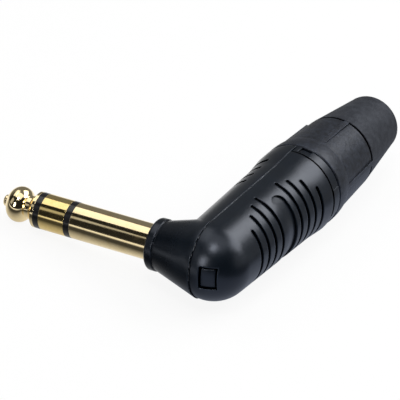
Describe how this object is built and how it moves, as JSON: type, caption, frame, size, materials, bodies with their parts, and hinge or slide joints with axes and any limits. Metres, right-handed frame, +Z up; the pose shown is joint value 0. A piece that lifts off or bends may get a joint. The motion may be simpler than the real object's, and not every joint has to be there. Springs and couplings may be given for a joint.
{
  "type": "right-angle stereo jack plug",
  "caption": "Right-angle 6.35 mm stereo jack plug with a gold-plated three-pole shaft, a slim black grooved two-part housing and a screw-on cable boot.",
  "frame": {"origin": "centre of the shaft at the shoulder, where the shaft leaves the nose of the housing", "axes": "+Y along the grip's axis towards the cable end, the shaft leaves towards -X and dips to the surface, +Z up; the plug lies on its side on its collar and its tip"},
  "size_m": [0.0489, 0.068, 0.0162],
  "materials": {
    "gold_plate": "polished gold-plated brass",
    "tinned_brass": "tin-plated stamped brass",
    "spring_steel": "stamped spring steel",
    "insulator": "smooth black thermoplastic",
    "washer_plastic": "natural polyamide",
    "housing_plastic": "satin black moulded polyamide",
    "chuck_plastic": "dark grey moulded acetal",
    "nut_plastic": "dull black moulded polyamide",
    "boot_rubber": "matt black soft elastomer"
  },
  "bodies": {
    "plug": {"tip_contact": "gold_plate", "tip_insulator": "insulator", "ring_contact": "gold_plate", "ring_insulator": "insulator", "sleeve_contact": "gold_plate", "sleeve_lug": "tinned_brass", "sleeve_washer": "washer_plastic", "ring_lug": "tinned_brass", "ring_washer": "washer_plastic", "tip_lug": "tinned_brass", "push_nut": "spring_steel", "carrier_half": "housing_plastic", "cover_half": "housing_plastic"},
    "chuck": {"chuck": "chuck_plastic"},
    "boot": {"boot_nut": "nut_plastic", "rubber_boot": "boot_rubber"}
  },
  "joints": [
    {"name": "chuck_slide", "type": "slide", "parent": "plug", "child": "chuck", "axis": [0, 1, 0], "range_m": [0, 0.006]},
    {"name": "boot_turn", "type": "hinge", "parent": "chuck", "child": "boot", "pos_m": [0.0115, 0.0313, 0.0015], "axis": [0, 1, 0], "range_deg": [0, 1440]}
  ],
  "couplings": [
    {"joint": "chuck_slide", "follows": "boot_turn", "m_per_rad": 0.00023873}
  ]
}
